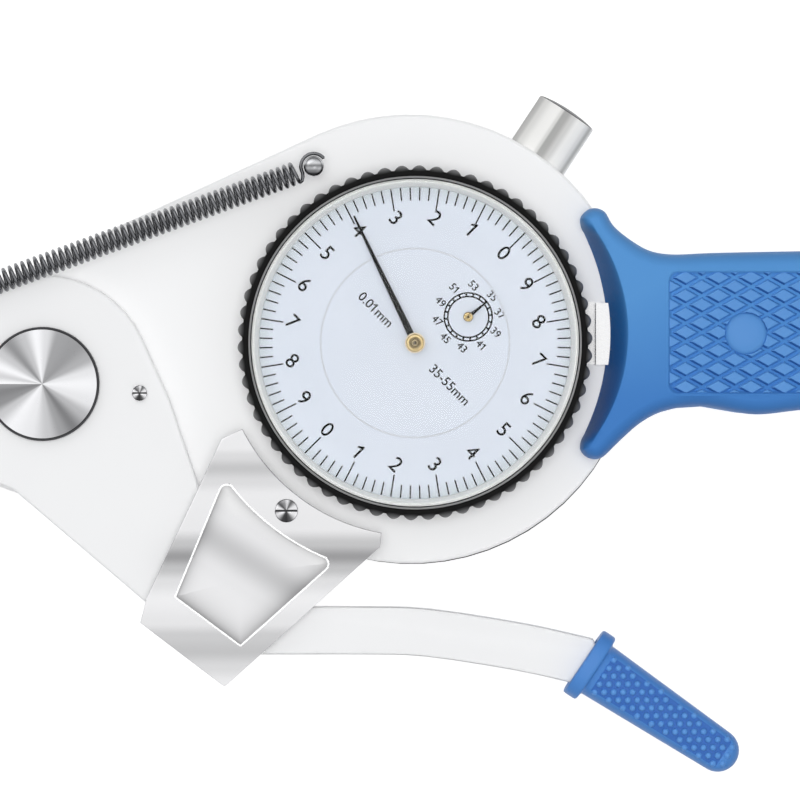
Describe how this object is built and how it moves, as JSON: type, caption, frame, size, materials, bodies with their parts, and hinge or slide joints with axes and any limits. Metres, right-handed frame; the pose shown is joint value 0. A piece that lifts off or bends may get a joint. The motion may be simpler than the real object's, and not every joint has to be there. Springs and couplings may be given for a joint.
{
  "type": "inside dial caliper",
  "caption": "Inside dial caliper: a sprung finger lever moves one jaw and drives a dial movement; white body, black bezel, blue handle and sleeve.",
  "frame": {"origin": "on the back face, straight behind the centre of the dial", "axes": "+X from the dial to the handle's end, +Z out of the dial's face, +Y to the side of the dust cap"},
  "size_m": [0.3022, 0.1115, 0.0221],
  "materials": {
    "white_enamel": "satin white paint",
    "black_enamel": "satin black paint",
    "polished_steel": "ground and polished",
    "chrome": "bright chrome plate",
    "spring_steel": "dark drawn wire",
    "brass": "turned brass",
    "bezel_black": "black moulded ring",
    "dial_silver": "matt silver",
    "dial_face": "pale blue print ground",
    "pointer_black": "matt black",
    "crystal": "clear",
    "handle_blue": "satin blue moulding",
    "sleeve_blue": "soft blue moulding"
  },
  "bodies": {
    "body": {"back_cover": "black_enamel", "back_cover_screw_1": "polished_steel", "back_cover_screw_2": "polished_steel", "back_cover_screw_3": "polished_steel", "back_cover_screw_4": "polished_steel", "bezel_seat_ring": "polished_steel", "body_frame": "white_enamel", "dial_centre": "dial_face", "dust_cap": "chrome", "fixed_jaw": "polished_steel", "fixed_jaw_screw_1": "polished_steel", "fixed_jaw_screw_2": "polished_steel", "fixed_jaw_tip": "polished_steel", "guard_cover": "chrome", "guard_screw": "polished_steel", "handle_back": "handle_blue", "handle_front": "handle_blue", "handle_screw_1": "polished_steel", "handle_screw_2": "polished_steel", "handle_tang": "polished_steel", "lower_spindle_bush": "brass", "movement_bridge": "brass", "movement_plate": "brass", "pivot_cap": "polished_steel", "pivot_shaft": "polished_steel", "return_spring": "spring_steel", "spring_screw": "polished_steel", "tang_screw_1": "polished_steel", "tang_screw_2": "polished_steel", "upper_spindle_bush": "brass"},
    "lever": {"moving_arm": "white_enamel", "moving_jaw": "polished_steel", "moving_jaw_screw_1": "polished_steel", "moving_jaw_screw_2": "polished_steel", "moving_jaw_tip": "polished_steel", "push_block": "polished_steel", "push_block_screw_1": "polished_steel", "push_block_screw_2": "polished_steel", "push_block_screw_3": "polished_steel", "push_block_screw_4": "polished_steel", "push_pad": "polished_steel", "trigger_lever": "white_enamel", "trigger_sleeve": "sleeve_blue", "pivot_bush": "brass", "stop_screw": "polished_steel", "spring_pin": "polished_steel"},
    "spindle": {"spindle": "polished_steel", "contact_point": "polished_steel", "spindle_rack": "brass"},
    "pointer": {"centre_arbor": "brass", "pointer_hub": "brass", "main_pointer": "pointer_black"},
    "counter": {"counter_wheel": "brass", "counter_hub": "brass", "counter_pointer": "pointer_black"},
    "drive": {"drive_wheel": "brass"},
    "bezel": {"bezel": "bezel_black", "dial_ring": "dial_face", "dial_flange": "dial_silver", "crystal": "crystal"}
  },
  "joints": [
    {"name": "lever_hinge", "type": "hinge", "parent": "body", "child": "lever", "pos_m": [-0.06098, -0.00672, 0.0138], "axis": [0, 0, 1], "range_deg": [0, 12.38], "stiffness_Nm_per_rad": 0.25, "springref_deg": -34.38, "deforming": ["return_spring"]},
    {"name": "spindle_slide", "type": "slide", "parent": "body", "child": "spindle", "axis": [0.5505, 0.8348, 0], "range_m": [0, 0.0102]},
    {"name": "pointer_hinge", "type": "hinge", "parent": "body", "child": "pointer", "pos_m": [0, 0, 0.0154], "axis": [0, 0, 1], "range_deg": [-3672.01, 0]},
    {"name": "counter_hinge", "type": "hinge", "parent": "body", "child": "counter", "pos_m": [0.0087, 0.00426, 0.0154], "axis": [0, 0, 1], "range_deg": [0, 367.21]},
    {"name": "drive_hinge", "type": "hinge", "parent": "body", "child": "drive", "pos_m": [-0.0087, -0.00426, 0.0105], "axis": [0, 0, 1], "range_deg": [0, 367.21]},
    {"name": "bezel_turn", "type": "hinge", "parent": "body", "child": "bezel", "pos_m": [0, 0, 0.0123], "axis": [0, 0, 1], "continuous": true}
  ],
  "couplings": [
    {"joint": "spindle_slide", "follows": "lever_hinge", "m_per_rad": 0.04721},
    {"joint": "pointer_hinge", "follows": "lever_hinge", "ratio": -296.63},
    {"joint": "counter_hinge", "follows": "lever_hinge", "ratio": 29.663},
    {"joint": "drive_hinge", "follows": "lever_hinge", "ratio": 29.663}
  ]
}
